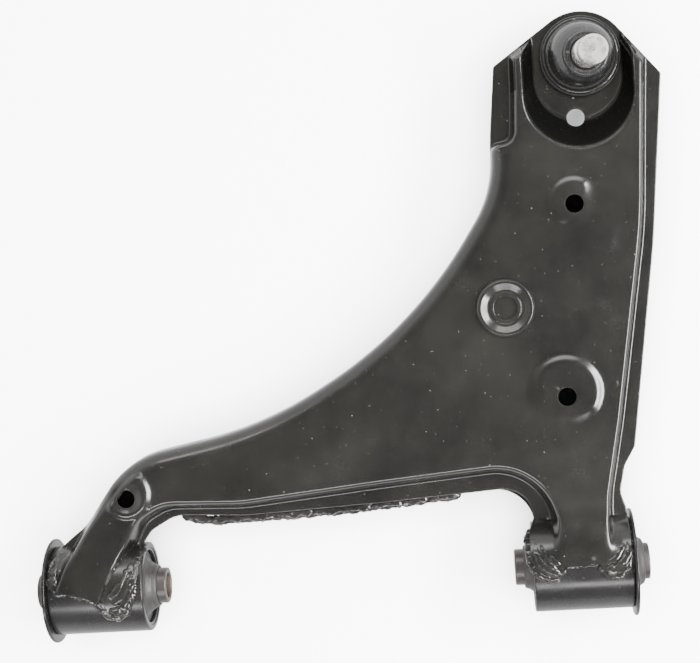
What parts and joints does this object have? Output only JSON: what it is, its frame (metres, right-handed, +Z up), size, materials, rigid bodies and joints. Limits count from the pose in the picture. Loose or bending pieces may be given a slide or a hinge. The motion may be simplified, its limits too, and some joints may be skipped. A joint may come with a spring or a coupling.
{
  "type": "lower control arm",
  "caption": "Welded pressed-steel suspension arm with rubber bushes on one pivot axis and a booted ball joint at the outer end.",
  "frame": {"origin": "centre of the front bush, on the pivot axis", "axes": "+X along the pivot axis from the rear bush to the front bush, +Y from the pivot axis to the ball joint, +Z up on the stud's side"},
  "size_m": [0.3665, 0.3341, 0.0919],
  "materials": {
    "gloss_black_paint": "gloss",
    "painted_weld": "gloss, rough bead",
    "bush_rubber": "matte",
    "boot_rubber": "satin",
    "bare_steel": "dull, lightly oxidised",
    "machined_steel": "machined",
    "seat_plastic": "satin"
  },
  "bodies": {
    "arm": {"upper_shell": "gloss_black_paint", "lower_shell": "gloss_black_paint", "seam_weld": "painted_weld", "dished_washer": "gloss_black_paint", "front_bush_tube": "gloss_black_paint", "front_tube_weld": "painted_weld", "front_bush_outer_sleeve": "gloss_black_paint", "front_bush_rubber": "bush_rubber", "rear_bush_tube": "gloss_black_paint", "rear_tube_weld": "painted_weld", "rear_bush_outer_sleeve": "gloss_black_paint", "rear_bush_rubber": "bush_rubber", "ball_joint_housing": "gloss_black_paint", "ball_seat": "seat_plastic", "ball_joint_cover": "gloss_black_paint", "boot_base_clip": "gloss_black_paint"},
    "front_bush_core": {"front_bush_inner_sleeve": "bare_steel"},
    "rear_bush_core": {"rear_bush_inner_sleeve": "bare_steel"},
    "boot": {"dust_boot": "boot_rubber"},
    "boot_collar": {"boot_neck_ring": "gloss_black_paint"},
    "stud": {"ball_stud": "machined_steel"}
  },
  "joints": [
    {"name": "front_bush_twist", "type": "hinge", "parent": "arm", "child": "front_bush_core", "pos_m": [0, 0, 0], "axis": [1, 0, 0], "range_deg": [-20, 20], "stiffness_Nm_per_rad": 20},
    {"name": "rear_bush_twist", "type": "hinge", "parent": "arm", "child": "rear_bush_core", "pos_m": [-0.27, 0, 0], "axis": [1, 0, 0], "range_deg": [-20, 20], "stiffness_Nm_per_rad": 20},
    {"name": "stud_swing_fore_aft", "type": "hinge", "parent": "arm", "child": "boot", "pos_m": [0.0162, 0.2795, 0.007], "axis": [1, 0, 0], "range_deg": [-23.3, 12.7], "deforming": ["dust_boot"]},
    {"name": "stud_swing_side", "type": "hinge", "parent": "boot", "child": "boot_collar", "pos_m": [0.0162, 0.2795, 0.007], "axis": [0, 0.9957, 0.0924], "range_deg": [-21.6, 14.4]},
    {"name": "stud_spin", "type": "hinge", "parent": "boot_collar", "child": "stud", "pos_m": [0.0162, 0.2795, 0.007], "axis": [0.0628, -0.0922, 0.9938], "continuous": true}
  ]
}
